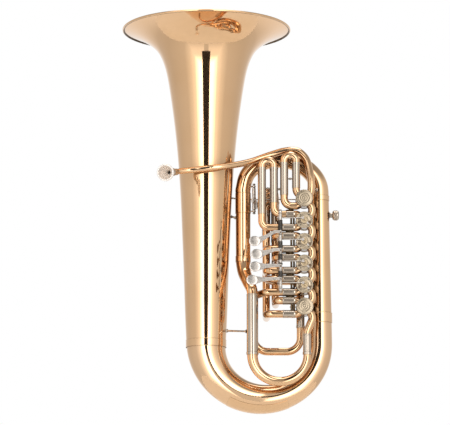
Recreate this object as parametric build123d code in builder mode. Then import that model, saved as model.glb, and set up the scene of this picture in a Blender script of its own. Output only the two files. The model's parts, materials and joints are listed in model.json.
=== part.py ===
from build123d import *
import math
import os

# ----------------------------------------------------------------------------
# Tuba in F with six rotary valves.  Millimetres, +Z up, the valves face -Y.
# X = 0 and Y = 0 are the middle of the whole instrument, Z = 0 is the lowest
# point of the bottom bow.
# ----------------------------------------------------------------------------

# --- driving dimensions -----------------------------------------------------
AX = 58.65             # bell axis lies this far to the left of X = 0

RIM_Z = 962.3          # outer surface of the flare at the rim
RIM_R = 210.0          # radius of the bell rim
BEAD_R = 2.8           # radius of the wire rolled into the rim
BELL_END_Z = 172.0     # where the bell meets the bottom bow
WALL_BELL = 0.8
WALL_BRANCH = 0.8

BOW_X = 140.2          # half the distance between the bell and the outer branch
BOW_TOP_Z = 172.0      # the bottom bow starts here
BOW_DROP = 135.6       # its centre line drops by this much
BOW_R_BELL = 48.6      # tube radius at the bell end
BOW_R_OUT = 28.6       # tube radius at the outer branch end

BRANCH_X = 280.4
BRANCH_Z0 = 236.0      # outer branch, lower end
BRANCH_Z1 = 540.0      # outer branch, upper end
BRANCH_R0 = 27.8
BRANCH_R1 = 22.6

INNER_X = 91.0
INNER_Y = 6.0
INNER_Z0 = 378.0       # inner branch, lower end
INNER_Z1 = 548.0       # inner branch, upper end
INNER_R0 = 18.0
INNER_R1 = 18.6

BORE_R = 8.75          # bore of the valves and slides
TUBE_R = 9.35          # outside of the cylindrical tubes
SLEEVE_IN = 9.40       # inside of the outer slide sleeves
SLEEVE_R = 10.15       # outside of the outer slide sleeves

VALVE_X = 240.4
VALVE_Y = -48.0
VALVE_Z0 = 523.3
VALVE_PITCH = 53.5
VALVE_Z = [VALVE_Z0 - VALVE_PITCH * i for i in range(6)]
CASING_R = 20.0
CASING_BORE = 18.50
CASING_HALF = 17.0     # half the length of a casing, along Y
ROTOR_R = 18.44        # 0.06 mm running clearance
ROTOR_HALF = 12.9
PASSAGE_R = 7.0
PLATE_T = 3.9          # bearing plate
SPINDLE_R = 3.0
CAP_T = 5.0
PORT_IN = 18.9         # tubes are brazed into the casing wall from here
PORT = PORT_IN / math.sqrt(2.0)
TUBE_OFF = 16.4        # slide tubes run this far above and below the valve

CRANK_R = 5.6          # crank pin radius on the stop arm
CRANK = CRANK_R / math.sqrt(2.0)
PIN_R = 1.5
LEVER_ARM = 22.8       # lever hinge to link pin
LEVER_SWING = 20.0     # degrees
LEVER_PIN_R = 1.6
LEVER_EYE_R = 2.4

MAIN_Y = -52.0         # plane of the main tuning slide
MAIN_XL = 113.0
MAIN_XR = 246.0
MAIN_Z = 138.0         # top of its bow
MAIN_RL = 13.25        # inner leg radius, large side
MAIN_RR = 9.35         # inner leg radius, small side

KNOB_Z = 492.0

os.makedirs("parts", exist_ok=True)


def pt(x, y, z):
    """Point measured from the bell axis, in the frame of the part."""
    return Vector(x - AX, y, z)


def unit(v):
    return v * (1.0 / v.length)


def curve_stations(pts, n, t0=None, t1=None):
    """Smooth curve through pts: n stations of (point, direction, share)."""
    m = len(pts)
    tang = []
    for i in range(m):
        if i == 0:
            d = t0 * (pts[1] - pts[0]).length if t0 is not None else pts[1] - pts[0]
        elif i == m - 1:
            d = t1 * (pts[-1] - pts[-2]).length if t1 is not None else pts[-1] - pts[-2]
        else:
            a = (pts[i] - pts[i - 1]).length
            b = (pts[i + 1] - pts[i]).length
            d = unit((pts[i] - pts[i - 1]) * (b / a) + (pts[i + 1] - pts[i]) * (a / b))
            d = d * ((a + b) / 2.0)
        tang.append(d)
    dense = []
    for i in range(m - 1):
        a, b = pts[i], pts[i + 1]
        seg = (b - a).length
        ta = unit(tang[i]) * seg
        tb = unit(tang[i + 1]) * seg
        for k in range(40):
            s = k / 40.0
            h00 = 2 * s ** 3 - 3 * s ** 2 + 1
            h10 = s ** 3 - 2 * s ** 2 + s
            h01 = -2 * s ** 3 + 3 * s ** 2
            h11 = s ** 3 - s ** 2
            p = a * h00 + ta * h10 + b * h01 + tb * h11
            dv = (a * (6 * s * s - 6 * s) + ta * (3 * s * s - 4 * s + 1)
                  + b * (-6 * s * s + 6 * s) + tb * (3 * s * s - 2 * s))
            dense.append((p, unit(dv)))
    dense.append((pts[-1], unit(tang[-1])))
    length = [0.0]
    for i in range(1, len(dense)):
        length.append(length[-1] + (dense[i][0] - dense[i - 1][0]).length)
    out = []
    for k in range(n):
        want = length[-1] * k / (n - 1)
        j = min(range(len(length)), key=lambda q: abs(length[q] - want))
        out.append((dense[j][0], dense[j][1], length[j] / length[-1]))
    return out


def frames(stations, start=Vector(0, 1, 0)):
    """Planes across a curve that do not twist along it."""
    x = start
    out = []
    for p, t, s in stations:
        x = x - t * x.dot(t)
        if x.length < 1e-3:
            x = Vector(0, 0, 1) - t * t.Z
        x = unit(x)
        out.append((Plane(origin=p, x_dir=x, z_dir=t), s))
    return out


def horn(planes, radius, wall):
    """Hollow tapering tube: loft of rings, radius is a function of share."""
    with BuildPart() as b:
        for plane, s in planes:
            with BuildSketch(plane):
                Circle(radius(s))
                Circle(radius(s) - wall, mode=Mode.SUBTRACT)
        loft()
    return b.part


def run(points, radii, r_out, r_in):
    """Tube of straight runs joined by tangent arcs."""
    with BuildPart() as b:
        with BuildLine() as path:
            here = points[0]
            for i in range(1, len(points) - 1):
                a = unit(points[i - 1] - points[i])
                c = unit(points[i + 1] - points[i])
                half = math.acos(max(-1.0, min(1.0, a.dot(c)))) / 2.0
                back = radii[i - 1] / math.tan(half)
                s = points[i] + a * back
                e = points[i] + c * back
                mid_dir = unit(a + c)
                centre = points[i] + mid_dir * (radii[i - 1] / math.sin(half))
                mid = centre - mid_dir * radii[i - 1]
                if (s - here).length > 1e-3:
                    Line(here, s)
                ThreePointArc(s, mid, e)
                here = e
            if (points[-1] - here).length > 1e-3:
                Line(here, points[-1])
        first = points[1] - points[0]
        with BuildSketch(Plane(origin=points[0], z_dir=first)):
            Circle(r_out)
            if r_in > 0:
                Circle(r_in, mode=Mode.SUBTRACT)
        sweep(path=path.line)
    return b.part


def rod(a, b, r, r_in=0.0):
    """Straight round rod or tube from a to b."""
    with BuildPart() as p:
        with BuildSketch(Plane(origin=a, z_dir=b - a)):
            Circle(r)
            if r_in > 0:
                Circle(r_in, mode=Mode.SUBTRACT)
        extrude(amount=(b - a).length)
    return p.part


def save(part, label):
    part.label = label
    export_step(part, "parts/" + label + ".step")


# ----------------------------------------------------------------------------
# Bell: flare, throat and stack, with a wire rolled into the rim
# ----------------------------------------------------------------------------
BELL = [(0, 209.0), (3, 200), (8, 187), (15, 171.5), (25, 154), (38, 136.5), (55, 121),
        (75, 110.5), (100, 102), (130, 95.5), (170, 89), (220, 82), (280, 75),
        (350, 68.7), (430, 63.5), (520, 59.5), (620, 55.3), (720, 51.8), (790.3, 48.6)]

with BuildPart() as bell:
    outer = [(r, RIM_Z - d) for d, r in BELL]
    inner = []
    for i, (r, z) in enumerate(outer):
        a = outer[max(i - 1, 0)]
        c = outer[min(i + 1, len(outer) - 1)]
        tx, tz = c[0] - a[0], c[1] - a[1]
        ln = math.hypot(tx, tz)
        nx, nz = -(-tz) / ln, -tx / ln
        inner.append((r - abs(nx) * WALL_BELL, z + abs(nz) * WALL_BELL))
    inner[-1] = (outer[-1][0] - WALL_BELL, outer[-1][1])
    with BuildSketch(Plane(origin=pt(0, 0, 0), x_dir=(1, 0, 0), z_dir=(0, -1, 0))):
        with BuildLine():
            Spline(*outer)
            Line(outer[-1], inner[-1])
            Spline(*inner[::-1])
            Line(inner[0], outer[0])
        make_face()
    revolve(axis=Axis(pt(0, 0, 0), (0, 0, 1)))
    # rolled wire with a narrow flat land on top
    with BuildSketch(Plane(origin=pt(0, 0, 0), x_dir=(1, 0, 0), z_dir=(0, -1, 0))):
        with Locations((RIM_R - BEAD_R, RIM_Z - 0.6)):
            Circle(BEAD_R)
            with Locations((0, 2 * BEAD_R - 0.13)):
                Rectangle(4 * BEAD_R, 2 * BEAD_R, mode=Mode.SUBTRACT)
    revolve(axis=Axis(pt(0, 0, 0), (0, 0, 1)))
save(bell.part, "bell")

# ----------------------------------------------------------------------------
# Bottom bow, its guard, outer branch, top bow, inner branch
# ----------------------------------------------------------------------------
def bow_radius(s):
    return BOW_R_OUT + (BOW_R_BELL - BOW_R_OUT) * (1 - s) ** 1.55


def bow_stations(t0, t1, n):
    out = []
    for i in range(n):
        t = t0 + (t1 - t0) * i / (n - 1)
        a = math.pi * t
        p = pt(BOW_X - BOW_X * math.cos(a), 0, BOW_TOP_Z - BOW_DROP * math.sin(a))
        d = unit(Vector(BOW_X * math.sin(a), 0, -BOW_DROP * math.cos(a)))
        out.append((p, d, t))
    return out


with BuildPart() as bottom_bow:
    add(horn(frames(bow_stations(0.0, 1.0, 17)), bow_radius, WALL_BRANCH))
    # the straight end that rises to the outer branch
    with BuildSketch(Plane(origin=pt(2 * BOW_X, 0, BOW_TOP_Z))):
        Circle(BOW_R_OUT)
        Circle(BOW_R_OUT - WALL_BRANCH, mode=Mode.SUBTRACT)
    with BuildSketch(Plane(origin=pt(2 * BOW_X, 0, BRANCH_Z0))):
        Circle(BRANCH_R0)
        Circle(BRANCH_R0 - WALL_BRANCH, mode=Mode.SUBTRACT)
    loft()
save(bottom_bow.part, "bottom_bow")

GUARD_T = 0.8
with BuildPart() as bow_guard:
    # plate that wraps the lower outer third of the bottom bow
    for k in (0,):
        st = frames(bow_stations(0.33, 0.62, 9))
        for plane, s in st:
            r0 = bow_radius(s) + 0.05
            r1 = r0 + GUARD_T
            down = 1.0
            with BuildSketch(plane):
                # the sector that looks away from the centre of the bow
                with BuildLine():
                    a0, a1 = math.radians(210.0), math.radians(330.0)
                    o = [(r1 * math.cos(a), r1 * math.sin(a)) for a in (a0, (a0 + a1) / 2, a1)]
                    n_ = [(r0 * math.cos(a), r0 * math.sin(a)) for a in (a0, (a0 + a1) / 2, a1)]
                    ThreePointArc(o[0], o[1], o[2])
                    Line(o[2], n_[2])
                    ThreePointArc(n_[2], n_[1], n_[0])
                    Line(n_[0], o[0])
                make_face()
        loft()
save(bow_guard.part, "bow_guard")

with BuildPart() as outer_branch:
    for z, r in ((BRANCH_Z0 + 0.02, BRANCH_R0), (BRANCH_Z1, BRANCH_R1)):
        with BuildSketch(Plane(origin=pt(BRANCH_X, 0, z))):
            Circle(r)
            Circle(r - WALL_BRANCH, mode=Mode.SUBTRACT)
    loft()
save(outer_branch.part, "outer_branch")

with BuildPart() as top_bow:
    P = [pt(BRANCH_X, 0, BRANCH_Z1 + 0.02), pt(277.5, 0.5, 569), pt(266, 1, 591.5), pt(246, 2, 611.5),
         pt(217, 3, 627), pt(184, 4, 633), pt(150, 5, 629.5), pt(121, 5.5, 616),
         pt(102, 6, 596), pt(93.5, 6, 573), pt(INNER_X, INNER_Y, INNER_Z1 + 0.02)]
    st = curve_stations(P, 19, Vector(0, 0, 1), Vector(0, 0, -1))
    add(horn(frames(st), lambda s: BRANCH_R1 + (INNER_R1 - BRANCH_R1) * s, WALL_BRANCH))
save(top_bow.part, "top_bow")

with BuildPart() as inner_branch:
    for z, r in ((INNER_Z0, INNER_R0), (INNER_Z1, INNER_R1)):
        with BuildSketch(Plane(origin=pt(INNER_X, INNER_Y, z))):
            Circle(r)
            Circle(r - WALL_BRANCH, mode=Mode.SUBTRACT)
    loft()
save(inner_branch.part, "inner_branch")

# gooseneck between the inner branch and the large leg of the main tuning slide
NECK_Z = 288.0
with BuildPart() as gooseneck:
    st = curve_stations([pt(INNER_X, INNER_Y, INNER_Z0 - 0.02), pt(93.5, -2, 352), pt(103, -26, 322), pt(MAIN_XL, MAIN_Y, NECK_Z)],
                        11, Vector(0, 0, -1), Vector(0, 0, -1))
    add(horn(frames(st), lambda s: INNER_R0 + (MAIN_RL - INNER_R0) * s, 0.7))
save(gooseneck.part, "gooseneck")

# ----------------------------------------------------------------------------
# Ferrules at the joints of the large tubes
# ----------------------------------------------------------------------------
FERRULES = [((0, 0), BELL_END_Z - 9, BELL_END_Z + 9, 49.35, 49.9),
            ((BRANCH_X, 0), BRANCH_Z0 - 12, BRANCH_Z0 + 12, 28.25, 29.2),
            ((BRANCH_X, 0), BRANCH_Z1 - 12, BRANCH_Z1, 22.95, 23.7),
            ((INNER_X, INNER_Y), INNER_Z1 - 50, INNER_Z1, 18.75, 19.5),
            ((INNER_X, INNER_Y), INNER_Z0 - 2, INNER_Z0 + 12, 18.2, 19.0)]
with BuildPart() as ferrules:
    for (x, y), z0, z1, ri, ro in FERRULES:
        with BuildSketch(Plane(origin=pt(x, y, z0))):
            Circle(ro)
            Circle(ri, mode=Mode.SUBTRACT)
        extrude(amount=z1 - z0)
save(ferrules.part, "ferrules")

# ----------------------------------------------------------------------------
# Leadpipe, receiver, mouthpiece
# ----------------------------------------------------------------------------
MP_RIM = pt(-97.9, -203.0, 560.6)
MP_DIR = unit(Vector(-0.22, -0.955, -0.20))      # points at the player
MP_OUT = 70.0          # length of mouthpiece outside the receiver
RECEIVER_L = 40.0
REC_MOUTH = MP_RIM - MP_DIR * MP_OUT
REC_START = REC_MOUTH - MP_DIR * RECEIVER_L
PORT_NE = pt(VALVE_X + PORT, VALVE_Y, VALVE_Z[0] + PORT)

with BuildPart() as leadpipe:
    LP = [REC_START + MP_DIR * 4, REC_START - MP_DIR * 4, pt(-63.5, -88.5, 586.5), pt(-44, -82.0, 589.5), pt(0, -81.5, 594.5),
          pt(40, -76, 600), pt(74, -58, 608.5), pt(112, -34.2, 621.5), pt(160, -26.0, 639.5),
          pt(198, -26.5, 649.6), pt(226, -27.0, 648.2), pt(245, -29, 630), pt(253.5, -35.5, 603),
          pt(258.0, -44, 570), pt(PORT_NE.X + AX + 2.9, VALVE_Y, PORT_NE.Z + 7.5), PORT_NE]
    st = curve_stations(LP, 34, MP_DIR * -1.0, unit(Vector(-1, 0, -1)))
    add(horn(frames(st, Vector(0, 0, 1)), lambda s: 6.6 + (TUBE_R - 6.6) * min(1.0, s / 0.78), 0.6))
save(leadpipe.part, "leadpipe")

# taper bore of the receiver: 13.5 mm at the mouth
with BuildPart() as mouthpiece_receiver:
    axis_plane = Plane(origin=REC_START, z_dir=MP_DIR)
    with BuildSketch(axis_plane):
        Circle(8.6)
    extrude(amount=RECEIVER_L)
    with BuildSketch(axis_plane.offset(RECEIVER_L - 7)):
        Circle(9.9)
    extrude(amount=7)
    with BuildSketch(axis_plane.offset(-0.5)):
        Circle(6.95)
    extrude(amount=6.5, mode=Mode.SUBTRACT)
    with BuildSketch(axis_plane.offset(5.9)):
        Circle(6.25)
    with BuildSketch(axis_plane.offset(RECEIVER_L)):
        Circle(6.95)
    loft(mode=Mode.SUBTRACT)
    with BuildSketch(axis_plane.offset(RECEIVER_L - 0.01)):
        Circle(6.95)
    extrude(amount=1.0, mode=Mode.SUBTRACT)
save(mouthpiece_receiver.part, "mouthpiece_receiver")

# mouthpiece: rim, cup, throat, backbore and shank turned about its own axis
MP_IN = 26.0
with BuildPart() as mouthpiece:
    mp = Plane(origin=MP_RIM, z_dir=MP_DIR * -1.0)    # z runs from the rim into the receiver
    u, w = mp.x_dir, mp.z_dir
    prof_plane = Plane(origin=MP_RIM, x_dir=u, z_dir=u.cross(w))
    L = MP_OUT + MP_IN
    with BuildSketch(prof_plane):
        with BuildLine():
            a = [(16.6, 2.2), (17.3, 0.7), (18.6, 0.1), (20.1, 0.9), (20.7, 2.8)]
            Spline(*a)
            b = [(20.7, 2.8), (20.3, 6), (19.2, 12), (17.2, 20), (14.2, 28), (11.0, 35), (8.8, 41), (7.6, 48)]
            Spline(*b)
            Line((7.6, 48), (7.45, 50))
            Line((7.45, 50), (6.85, MP_OUT - 0.6))
            Line((6.85, MP_OUT - 0.6), (6.34, L))
            Line((6.34, L), (5.6, L))
            Line((5.6, L), (4.1, 44))
            Line((4.1, 44), (4.1, 40))
            c = [(4.1, 40), (6.4, 34), (10.6, 25), (14.2, 14), (16.0, 6), (16.6, 2.2)]
            Spline(*c)
        make_face()
    revolve(axis=Axis(MP_RIM, MP_DIR))
save(mouthpiece.part, "mouthpiece")

# ----------------------------------------------------------------------------
# Rotary valves: casings, bearing plates, caps, rotors
# Valves 1 and 6 have their mechanism at the back, valves 2 to 5 in front.
# ----------------------------------------------------------------------------
BACK_DRIVEN = (0, 5)


def side(i):
    """+1 where the mechanism is at the back of the valve, -1 where in front."""
    return 1.0 if i in BACK_DRIVEN else -1.0


with BuildPart() as valve_casings:
    for i, z in enumerate(VALVE_Z):
        s = side(i)
        y_mech = VALVE_Y + s * CASING_HALF           # bearing end
        # tube
        with BuildSketch(Plane(origin=pt(VALVE_X, y_mech, z), x_dir=(1, 0, 0), z_dir=(0, -s, 0))):
            Circle(CASING_R)
        extrude(amount=2 * CASING_HALF)
        # raised ring at the bearing end
        with BuildSketch(Plane(origin=pt(VALVE_X, y_mech, z), x_dir=(1, 0, 0), z_dir=(0, -s, 0))):
            Circle(CASING_R + 0.8)
        extrude(amount=2.5)
        with BuildSketch(Plane(origin=pt(VALVE_X, y_mech - s * PLATE_T, z), x_dir=(1, 0, 0), z_dir=(0, -s, 0))):
            Circle(CASING_BORE)
        extrude(amount=2 * CASING_HALF, mode=Mode.SUBTRACT)
        with BuildSketch(Plane(origin=pt(VALVE_X, y_mech + s, z), x_dir=(1, 0, 0), z_dir=(0, -s, 0))):
            Circle(SPINDLE_R + 0.04)
        extrude(amount=10, mode=Mode.SUBTRACT)
        # four ports
        for k in range(4):
            a = math.radians(45 + 90 * k)
            d = Vector(math.cos(a), 0, math.sin(a))
            with BuildSketch(Plane(origin=pt(VALVE_X, VALVE_Y, z) + d * 12.0, z_dir=d)):
                Circle(TUBE_R + 0.12)
            extrude(amount=12, mode=Mode.SUBTRACT)
save(valve_casings.part, "valve_casings")

with BuildPart() as bearing_plates:
    for i, z in enumerate(VALVE_Z):
        s = side(i)
        y0 = VALVE_Y - s * CASING_HALF
        with BuildSketch(Plane(origin=pt(VALVE_X, y0 + s * PLATE_T, z), x_dir=(1, 0, 0), z_dir=(0, -s, 0))):
            Circle(CASING_BORE - 0.03)
            Circle(SPINDLE_R + 0.04, mode=Mode.SUBTRACT)
        extrude(amount=PLATE_T)
save(bearing_plates.part, "bearing_plates")

with BuildPart() as valve_caps:
    for i, z in enumerate(VALVE_Z):
        s = side(i)
        y0 = VALVE_Y - s * (CASING_HALF - 4.0)
        with BuildSketch(Plane(origin=pt(VALVE_X, y0, z), x_dir=(1, 0, 0), z_dir=(0, -s, 0))):
            Circle(CASING_R + 1.0)
        extrude(amount=4.0 + CAP_T)
        with BuildSketch(Plane(origin=pt(VALVE_X, y0, z), x_dir=(1, 0, 0), z_dir=(0, -s, 0))):
            Circle(CASING_R + 0.02)
        extrude(amount=4.05, mode=Mode.SUBTRACT)
        # hollow behind the crown
        with BuildSketch(Plane(origin=pt(VALVE_X, y0 - s * 4.0, z), x_dir=(1, 0, 0), z_dir=(0, -s, 0))):
            Circle(CASING_R - 4.0)
        extrude(amount=2.6, mode=Mode.SUBTRACT)
save(valve_caps.part, "valve_caps")

STOP_T = 3.0
for i, z in enumerate(VALVE_Z):
    s = side(i)
    y_mech = VALVE_Y + s * CASING_HALF
    with BuildPart() as rotor:
        with BuildSketch(Plane(origin=pt(VALVE_X, VALVE_Y - ROTOR_HALF, z), x_dir=(1, 0, 0), z_dir=(0, 1, 0))):
            Circle(ROTOR_R)
        extrude(amount=2 * ROTOR_HALF)
        # two curved passages, each a quarter turn between neighbouring ports
        for sx in (1, -1):
            a = pt(VALVE_X, VALVE_Y, z) + Vector(sx * 13.8, 0, 13.8)
            b = pt(VALVE_X, VALVE_Y, z) + Vector(sx * 13.8, 0, -13.8)
            m = pt(VALVE_X, VALVE_Y, z) + Vector(sx * (27.6 - 19.516), 0, 0)
            with BuildLine() as arc:
                ThreePointArc(a, m, b)
            with BuildSketch(Plane(origin=a, z_dir=Vector(-sx, 0, -1))):
                Circle(PASSAGE_R)
            sweep(path=arc.line, mode=Mode.SUBTRACT)
        # spindle through the bearing, and the short journal at the cap end
        with BuildSketch(Plane(origin=pt(VALVE_X, VALVE_Y + s * (ROTOR_HALF - 0.5), z), x_dir=(1, 0, 0), z_dir=(0, s, 0))):
            Circle(SPINDLE_R)
        extrude(amount=CASING_HALF - ROTOR_HALF + 0.5 + 0.4)
        with BuildSketch(Plane(origin=pt(VALVE_X, VALVE_Y + s * (CASING_HALF + 0.4), z), x_dir=(1, 0, 0), z_dir=(0, s, 0))):
            Circle(2.2)
        extrude(amount=STOP_T - 0.1)
        with BuildSketch(Plane(origin=pt(VALVE_X, VALVE_Y - s * (ROTOR_HALF - 0.5), z), x_dir=(1, 0, 0), z_dir=(0, -s, 0))):
            Circle(SPINDLE_R)
        extrude(amount=CASING_HALF - ROTOR_HALF + 0.5 - 0.3)
    save(rotor.part, "rotor_%d" % (i + 1))

    # stop arm: round plate with a crank pin and a stop finger
    with BuildPart() as stop_arm:
        face = Plane(origin=pt(VALVE_X, y_mech + s * 0.4, z), x_dir=(1, 0, 0), z_dir=(0, s, 0))
        flip = -s                                    # local y of that plane is -s*z
        with BuildSketch(face):
            Circle(9.4)
            with BuildLine():
                c45 = math.sqrt(0.5)
                q = [(15.4, 2.0), (15.4, -2.0), (6.0, -2.6), (6.0, 2.6)]
                # finger points away from the crank pin: +x, -z at rest
                w = [((x * c45 - y * c45), flip * -(x * c45 + y * c45) * -1.0) for x, y in q]
                w = [(x * c45 - y * c45, -flip * (x * c45 + y * c45)) for x, y in q]
                Polyline(*w, close=True)
            make_face()
            Circle(2.2, mode=Mode.SUBTRACT)
        extrude(amount=STOP_T)
        with BuildSketch(Plane(origin=pt(VALVE_X - CRANK, y_mech + s * (0.4 + STOP_T - 0.5), z + CRANK), x_dir=(1, 0, 0), z_dir=(0, s, 0))):
            Circle(PIN_R)
        extrude(amount=0.5 + 4.2)
    save(stop_arm.part, "stop_arm_%d" % (i + 1))

# cork bumpers that the stop fingers meet
with BuildPart() as cork_bumpers:
    for i, z in enumerate(VALVE_Z):
        s = side(i)
        y_mech = VALVE_Y + s * CASING_HALF
        for a in (-23.2, -156.8):
            x = 14.0 * math.cos(math.radians(a))
            zz = 14.0 * math.sin(math.radians(a))
            with BuildSketch(Plane(origin=pt(VALVE_X + x, y_mech, z + zz), x_dir=(1, 0, 0), z_dir=(0, s, 0))):
                Circle(3.0)
            extrude(amount=4.0)
save(cork_bumpers.part, "cork_bumpers")

# knuckles between neighbouring valves
with BuildPart() as knuckles:
    for i in range(5):
        z = VALVE_Z[i]
        g = 0.0
        a = pt(VALVE_X + PORT + g, VALVE_Y, z - PORT - g)
        b = pt(VALVE_X + PORT + g, VALVE_Y, z - VALVE_PITCH + PORT + g)
        rr = (a.Z - b.Z) / math.sqrt(2.0)
        m = pt(VALVE_X + PORT + g + rr * (1 - math.sqrt(0.5)), VALVE_Y, z - VALVE_PITCH / 2.0)
        with BuildLine() as arc:
            ThreePointArc(a, m, b)
        with BuildSketch(Plane(origin=a, z_dir=Vector(1, 0, -1))):
            Circle(TUBE_R)
            Circle(BORE_R, mode=Mode.SUBTRACT)
        sweep(path=arc.line)
    # the last one leads out of valve 6, down to the main tuning slide
    a = pt(VALVE_X + PORT, VALVE_Y, VALVE_Z[5] - PORT)
    st = curve_stations([a, pt(258.4, -48.3, 230), pt(253.2, -50.2, 213), pt(MAIN_XR, MAIN_Y, 193), pt(MAIN_XR, MAIN_Y, 184.0)],
                        13, unit(Vector(1, 0, -1)), Vector(0, 0, -1))
    add(horn(frames(st), lambda s: TUBE_R, 0.6))
save(knuckles.part, "knuckles")

# ----------------------------------------------------------------------------
# Valve slides.  Each valve has two fixed tubes, two sleeves and a crook.
# ----------------------------------------------------------------------------
def slide_port(i, up):
    """Start of the tube at the upper (or lower) slide port, and its corner."""
    z = VALVE_Z[i]
    k = 1 if up else -1
    g = 0.0
    start = pt(VALVE_X - PORT - g, VALVE_Y, z + k * (PORT + g))
    corner = pt(VALVE_X - TUBE_OFF, VALVE_Y, z + k * TUBE_OFF)
    return start, corner


BRAZE = 10.0           # length of fixed tube held in the bottom of a sleeve
tubes = {}
sleeves = []           # (base point, direction, length)
crooks = {}            # valve index -> (points, radii)

# valve 1: loop that points up, legs at x = 221 and x = 191.6
V1_R, V1_L, V1_TOP = 221.0, 191.6, 619.5
s1, c1 = slide_port(0, True)
v1_r_base = 551.5
v1_l_base = 534.0
ang = 18.0 * math.tan(math.radians(22.5))
corner = pt(V1_R, VALVE_Y, VALVE_Z[0] + (VALVE_X - V1_R))
s2, c2 = slide_port(0, False)
tubes[0] = [([s1, corner, pt(V1_R, VALVE_Y, v1_r_base + BRAZE)], [18.0]),
            ([s2, c2, pt(V1_L, VALVE_Y, VALVE_Z[0] - TUBE_OFF), pt(V1_L, VALVE_Y, v1_l_base + BRAZE)], [10.2, 19.0])]
sleeves += [(pt(V1_R, VALVE_Y, v1_r_base), V1_TOP - 4 - v1_r_base), (pt(V1_L, VALVE_Y, v1_l_base), V1_TOP - 4 - v1_l_base)]
crooks[0] = (V1_L, V1_R, VALVE_Y, V1_TOP, 55.0, 1)

# valve 2: loop that points up, legs at x = 166.5 and x = 137
V2_R, V2_L, V2_TOP = 166.5, 137.0, 607.0
s1, c1 = slide_port(1, True)
s2, c2 = slide_port(1, False)
v2_r_base = 515.0
v2_l_base = 487.0
tubes[1] = [([s1, c1, pt(V2_R, VALVE_Y, VALVE_Z[1] + TUBE_OFF), pt(V2_R, VALVE_Y, v2_r_base + BRAZE)], [10.2, 17.0]),
            ([s2, c2, pt(V2_L, VALVE_Y, VALVE_Z[1] - TUBE_OFF), pt(V2_L, VALVE_Y, v2_l_base + BRAZE)], [10.2, 17.0])]
sleeves += [(pt(V2_R, VALVE_Y, v2_r_base), V2_TOP - 4 - v2_r_base), (pt(V2_L, VALVE_Y, v2_l_base), V2_TOP - 4 - v2_l_base)]
crooks[1] = (V2_L, V2_R, VALVE_Y, V2_TOP, 60.0, 1)

# valves 3, 4 and 6: tubes turn to the back and the loops stand up there
BACK_L, BACK_R = 148.0, 170.5
BACK = {2: (-12.0, 452.0, 506.0), 3: (11.0, 440.0, 532.0), 5: (34.0, 430.0, 548.0)}
for i, (yp, base, top) in BACK.items():
    s1, c1 = slide_port(i, True)
    s2, c2 = slide_port(i, False)
    z = VALVE_Z[i]
    tubes[i] = [([s1, c1, pt(BACK_R, VALVE_Y, z + TUBE_OFF), pt(BACK_R, yp, z + TUBE_OFF), pt(BACK_R, yp, base + BRAZE)],
                 [10.2, 14.0, 14.0]),
                ([s2, c2, pt(BACK_L, VALVE_Y, z - TUBE_OFF), pt(BACK_L, yp, z - TUBE_OFF), pt(BACK_L, yp, base + BRAZE)],
                 [10.2, 14.0, 14.0])]
    sleeves += [(pt(BACK_R, yp, base), top - 4 - base), (pt(BACK_L, yp, base), top - 4 - base)]
    crooks[i] = (BACK_L, BACK_R, yp, top, 40.0, 1)

# valve 5: long loop that hangs down behind the main tuning slide
V5_Y, V5_L, V5_R, V5_BASE, V5_BOT, V5_CORNER = -12.0, 117.0, 231.0, 262.0, 151.4, 34.0
s1, c1 = slide_port(4, True)
s2, c2 = slide_port(4, False)
z = VALVE_Z[4]
tubes[4] = [([s1, c1, pt(152.0, VALVE_Y, z + TUBE_OFF), pt(152.0, V5_Y, z + TUBE_OFF), pt(V5_R, V5_Y, z + TUBE_OFF), pt(V5_R, V5_Y, V5_BASE - BRAZE)],
             [10.2, 17.5, 17.5, 22.0]),
            ([s2, c2, pt(147.0, VALVE_Y, z - TUBE_OFF), pt(V5_L, V5_Y, z - TUBE_OFF - 4), pt(V5_L, V5_Y, V5_BASE - BRAZE)],
             [10.2, 16.0, 14.0])]
V5_SLEEVE = 52.0

for i in range(6):
    with BuildPart() as valve_tube:
        for points, radii in tubes[i]:
            add(run(points, radii, TUBE_R, BORE_R))
    save(valve_tube.part, "valve_tubes_%d" % (i + 1))

with BuildPart() as slide_sleeves:
    for base, length in sleeves:
        with BuildSketch(Plane(origin=base)):
            Circle(SLEEVE_R)
            Circle(SLEEVE_IN, mode=Mode.SUBTRACT)
        extrude(amount=length)
        with BuildSketch(Plane(origin=base + Vector(0, 0, length - 5))):
            Circle(SLEEVE_R + 0.7)
            Circle(SLEEVE_IN, mode=Mode.SUBTRACT)
        extrude(amount=5)
    for x in (V5_L, V5_R):
        with BuildSketch(Plane(origin=pt(x, V5_Y, V5_BASE - V5_SLEEVE))):
            Circle(SLEEVE_R)
            Circle(SLEEVE_IN, mode=Mode.SUBTRACT)
        extrude(amount=V5_SLEEVE)
        with BuildSketch(Plane(origin=pt(x, V5_Y, V5_BASE - V5_SLEEVE))):
            Circle(SLEEVE_R + 0.7)
            Circle(SLEEVE_IN, mode=Mode.SUBTRACT)
        extrude(amount=5)
save(slide_sleeves.part, "slide_sleeves")

for i in (0, 1, 2, 3, 5):
    xl, xr, yp, top, depth, _ = crooks[i]
    rr = (xr - xl) / 2.0
    with BuildPart() as crook:
        with BuildLine() as path:
            Line(pt(xl, yp, top - depth), pt(xl, yp, top))
            ThreePointArc(pt(xl, yp, top), pt((xl + xr) / 2, yp, top + rr), pt(xr, yp, top))
            Line(pt(xr, yp, top), pt(xr, yp, top - depth))
        with BuildSketch(Plane(origin=pt(xl, yp, top - depth))):
            Circle(TUBE_R)
            Circle(BORE_R, mode=Mode.SUBTRACT)
        sweep(path=path.line)
    save(crook.part, "valve_slide_%d" % (i + 1))

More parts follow.
